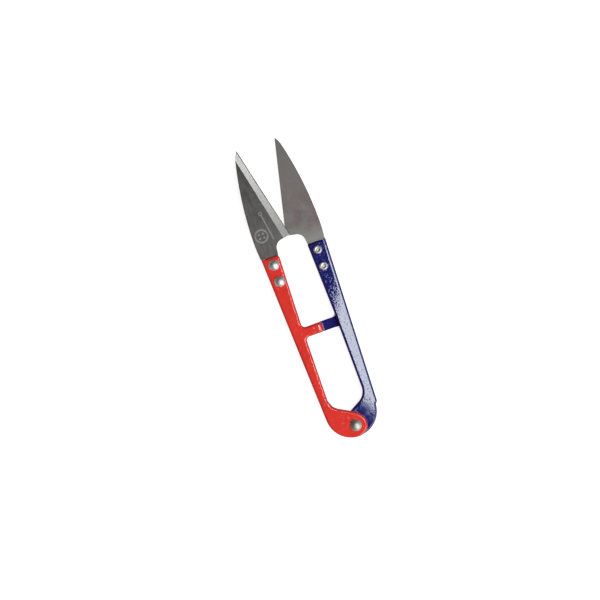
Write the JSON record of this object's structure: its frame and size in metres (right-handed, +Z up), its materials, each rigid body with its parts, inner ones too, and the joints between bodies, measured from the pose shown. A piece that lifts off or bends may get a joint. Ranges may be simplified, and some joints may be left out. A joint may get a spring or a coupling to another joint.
{
  "type": "thread snips",
  "caption": "Spring-opened thread snips: two pressed handles on one pivot rivet, each with a pointed ground blade, and crossbar tabs that hook together as the opening stop.",
  "frame": {"origin": "centre of the whole tool's box, level with the lower edges of the handle flanges that it rests on", "axes": "+Y towards the blade tips, +X to the right-hand (blue) half, +Z up through the pivot rivet's domed head"},
  "size_m": [0.024, 0.1061, 0.008],
  "materials": {
    "red_paint": "gloss enamel on pressed steel",
    "blue_paint": "gloss enamel on pressed steel, slight orange peel",
    "blade_steel": "ground and lapped carbon steel",
    "rivet_plating": "bright nickel plate",
    "plain_steel": "zinc-plated steel",
    "spring_wire": "oil-tempered spring wire"
  },
  "bodies": {
    "root": {"left_handle": "red_paint", "left_blade": "blade_steel", "left_front_rivet": "rivet_plating", "left_rear_rivet": "rivet_plating", "pivot_rivet": "rivet_plating", "pivot_washer": "plain_steel", "torsion_spring": "spring_wire"},
    "right_half": {"right_handle": "blue_paint", "right_blade": "blade_steel", "right_front_rivet": "rivet_plating", "right_rear_rivet": "rivet_plating"}
  },
  "joints": [
    {"name": "handle_pivot", "type": "hinge", "parent": "root", "child": "right_half", "pos_m": [0, -0.0491, 0.0044], "axis": [0, 0, 1], "range_deg": [0, 8.2], "stiffness_Nm_per_rad": 1, "springref_deg": -5.73, "deforming": ["torsion_spring"]}
  ]
}
